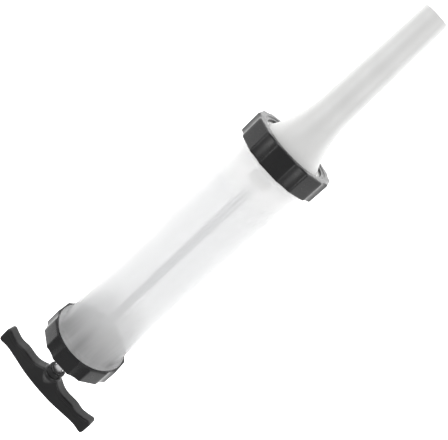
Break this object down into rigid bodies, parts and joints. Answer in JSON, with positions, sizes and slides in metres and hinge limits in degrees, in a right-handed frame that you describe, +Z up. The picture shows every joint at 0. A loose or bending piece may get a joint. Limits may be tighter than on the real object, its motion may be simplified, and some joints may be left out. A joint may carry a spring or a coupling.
{
  "type": "jerky gun",
  "caption": "Hand-operated meat extruder: clear barrel, black screw caps, white funnel nozzle and a T-handled plunger that slides and turns.",
  "frame": {"origin": "centre of the bounding box's bottom face: the gun lies on the floor on one flat of each screw cap", "axes": "+X along the gun towards the nozzle tip, +Z up, +Y along one arm of the T-handle"},
  "size_m": [0.4384, 0.1112, 0.0704],
  "materials": {
    "clear_plastic": "frosted, slightly milky clear plastic",
    "white_plastic": "satin white food plastic",
    "black_plastic": "semi-gloss moulded black plastic",
    "silicone": "satin milky silicone",
    "black_rubber": "matt black rubber",
    "bright_steel": "bright drawn steel",
    "brass": "plain turned brass"
  },
  "bodies": {
    "barrel_body": {"barrel": "clear_plastic"},
    "nozzle_body": {"nozzle": "white_plastic", "nozzle_gasket": "silicone"},
    "front_ring_body": {"front_lock_ring": "black_plastic"},
    "rod_guide_body": {"rod_wiper": "black_rubber", "rod_bushing": "white_plastic", "bushing_clip": "bright_steel"},
    "rear_cap_body": {"rear_cap": "black_plastic"},
    "piston_body": {"piston_front_plate": "white_plastic", "piston_seal": "silicone", "piston_rear_plate": "white_plastic"},
    "plunger_body": {"plunger_rod": "bright_steel", "piston_front_washer": "bright_steel", "piston_front_nut": "bright_steel", "piston_rear_washer": "bright_steel", "piston_rear_nut": "bright_steel", "piston_jam_nut": "bright_steel", "piston_bumper": "silicone", "handle_grip": "black_plastic", "handle_insert": "brass", "handle_ferrule": "black_plastic"}
  },
  "joints": [
    {"name": "plunger_slide", "type": "slide", "parent": "barrel_body", "child": "piston_body", "axis": [1, 0, 0], "range_m": [-0.198, 0]},
    {"name": "plunger_spin", "type": "hinge", "parent": "piston_body", "child": "plunger_body", "pos_m": [-0.2, 0, 0.0352], "axis": [1, 0, 0], "continuous": true},
    {"name": "nozzle_travel", "type": "slide", "parent": "barrel_body", "child": "nozzle_body", "axis": [1, 0, 0], "range_m": [0, 0.0096]},
    {"name": "front_ring_turn", "type": "hinge", "parent": "nozzle_body", "child": "front_ring_body", "pos_m": [0.0867, 0, 0.0352], "axis": [1, 0, 0], "range_deg": [0, 1080]},
    {"name": "rod_guide_travel", "type": "slide", "parent": "barrel_body", "child": "rod_guide_body", "axis": [-1, 0, 0], "range_m": [0, 0.0096]},
    {"name": "rear_cap_turn", "type": "hinge", "parent": "rod_guide_body", "child": "rear_cap_body", "pos_m": [-0.1497, 0, 0.0352], "axis": [-1, 0, 0], "range_deg": [0, 1080]}
  ],
  "couplings": [
    {"joint": "nozzle_travel", "follows": "front_ring_turn", "m_per_rad": 0.00050929},
    {"joint": "rod_guide_travel", "follows": "rear_cap_turn", "m_per_rad": 0.00050929}
  ]
}
